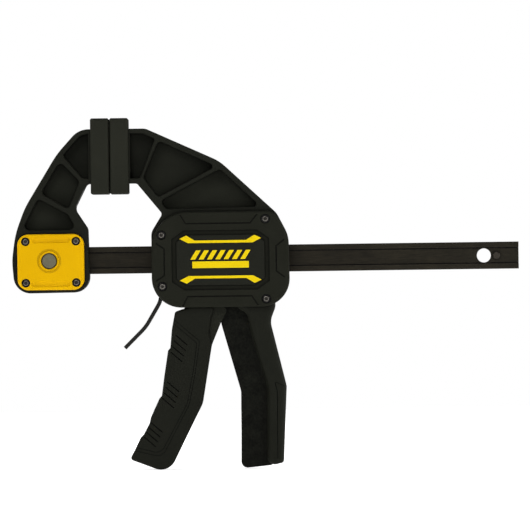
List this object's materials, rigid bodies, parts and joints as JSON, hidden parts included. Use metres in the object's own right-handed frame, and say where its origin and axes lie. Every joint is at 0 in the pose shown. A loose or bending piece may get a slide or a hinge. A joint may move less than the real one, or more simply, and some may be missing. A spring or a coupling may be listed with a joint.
{
  "type": "trigger bar clamp",
  "caption": "One-handed bar clamp with a fixed jaw, a sliding jaw with pistol-grip handle and squeeze trigger, a brake release lever and soft jaw pads.",
  "frame": {"origin": "centre of the fixed pad's clamping face, which the closed jaws meet at", "axes": "+X along the bar, from the fixed jaw to the hanging hole; +Z from the handle towards the pads; +Y to the rear cover"},
  "size_m": [0.3235, 0.0358, 0.2247],
  "materials": {
    "bar_steel": "brown-black oxide on rolled steel, satin",
    "pin_steel": "dark ground steel",
    "frame_nylon": "fine-grained glass-filled nylon, matt black",
    "cover_nylon": "moulded nylon, satin black",
    "trigger_nylon": "coarse-grained moulded nylon, black",
    "yellow_plastic": "moulded plastic, satin yellow",
    "trim_yellow": "raised yellow print, satin",
    "label_plastic": "smooth dark grey plastic",
    "washer_steel": "black oxide on steel",
    "screw_steel": "dark zinc-plated steel",
    "button_zinc": "as-cast zinc, bead-blasted grey",
    "plate_steel": "hardened steel sheet, lightly oiled",
    "lever_steel": "blackened spring steel",
    "spring_steel": "drawn spring wire",
    "pad_rubber": "moulded rubber, matt black",
    "grip_rubber": "soft-touch moulding, matt black"
  },
  "bodies": {
    "bar_and_fixed_jaw": {"bar": "bar_steel", "bar_stop_pins": "pin_steel", "fixed_jaw": "frame_nylon", "front_jaw_cover": "yellow_plastic", "rear_jaw_cover": "yellow_plastic", "jaw_cover_screws": "screw_steel", "jaw_cover_washers": "washer_steel", "fixed_pad": "pad_rubber", "button_spring": "spring_steel"},
    "quick_change_button": {"latch_button": "button_zinc", "latch_yoke": "plate_steel", "latch_pin": "pin_steel"},
    "clamp_body": {"body_frame": "frame_nylon", "handle_grip": "grip_rubber", "front_cover": "cover_nylon", "rear_cover": "cover_nylon", "cover_screws": "screw_steel", "cover_washers": "washer_steel", "front_label_panel": "label_plastic", "rear_label_panel": "label_plastic", "front_label_trim": "trim_yellow", "rear_label_trim": "trim_yellow", "moving_pad": "pad_rubber", "trigger_pivot_pin": "pin_steel", "drive_spring": "spring_steel", "brake_spring": "spring_steel"},
    "trigger": {"trigger_core": "trigger_nylon", "trigger_grip": "grip_rubber"},
    "drive_plate_pair": {"drive_plates": "plate_steel"},
    "brake_lever": {"brake_plate": "plate_steel", "release_lever": "lever_steel"}
  },
  "joints": [
    {"name": "jaw_slide", "type": "slide", "parent": "bar_and_fixed_jaw", "child": "clamp_body", "axis": [1, 0, 0], "range_m": [-0.0005, 0.1292]},
    {"name": "button_press", "type": "slide", "parent": "bar_and_fixed_jaw", "child": "quick_change_button", "axis": [0, 1, 0], "range_m": [0, 0.0052], "stiffness_N_per_m": 600, "springref_m": -0.004, "deforming": ["button_spring"]},
    {"name": "trigger_squeeze", "type": "hinge", "parent": "clamp_body", "child": "trigger", "pos_m": [0.0605, 0, -0.049], "axis": [0, -1, 0], "range_deg": [0, 16], "stiffness_Nm_per_rad": 1.2, "springref_deg": -17.19, "deforming": ["drive_spring"]},
    {"name": "drive_plate_slide", "type": "slide", "parent": "clamp_body", "child": "drive_plate_pair", "axis": [1, 0, 0], "range_m": [0, 0.0047]},
    {"name": "brake_release", "type": "hinge", "parent": "clamp_body", "child": "brake_lever", "pos_m": [0.0415, 0, -0.048], "axis": [0, -1, 0], "range_deg": [0, 8], "stiffness_Nm_per_rad": 0.8, "springref_deg": -11.46, "deforming": ["brake_spring"]}
  ],
  "couplings": [
    {"joint": "drive_plate_slide", "follows": "trigger_squeeze", "m_per_rad": 0.01637}
  ]
}
